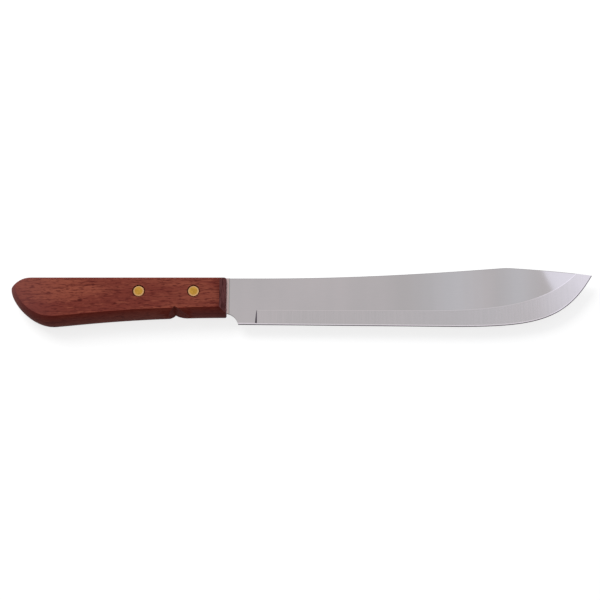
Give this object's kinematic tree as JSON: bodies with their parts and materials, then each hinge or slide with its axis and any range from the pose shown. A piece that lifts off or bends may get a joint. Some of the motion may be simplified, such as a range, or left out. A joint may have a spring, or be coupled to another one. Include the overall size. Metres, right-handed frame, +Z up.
{
  "type": "meat knife",
  "caption": "Fixed-blade meat knife: clip-point steel blade with a ground edge bevel, partial tang riveted into a slotted hardwood handle with an arched underside and finger notch.",
  "frame": {"origin": "under the middle of the whole knife, on the surface that it lies on", "axes": "+X along the knife towards the tip, +Y across the blade towards the spine, +Z up, square to the blade's flats"},
  "size_m": [0.3238, 0.0346, 0.016],
  "materials": {
    "blade_steel": "satin polished flats, finely cross-ground bevel",
    "handle_wood": "lacquered red-brown hardwood, grain along the handle",
    "rivet_brass": "worn brass with a bright rounded rim"
  },
  "bodies": {
    "root": {"blade": "blade_steel", "handle": "handle_wood", "front_rivet_post": "rivet_brass", "front_rivet_cap": "rivet_brass", "rear_rivet_post": "rivet_brass", "rear_rivet_cap": "rivet_brass"}
  },
  "joints": []
}
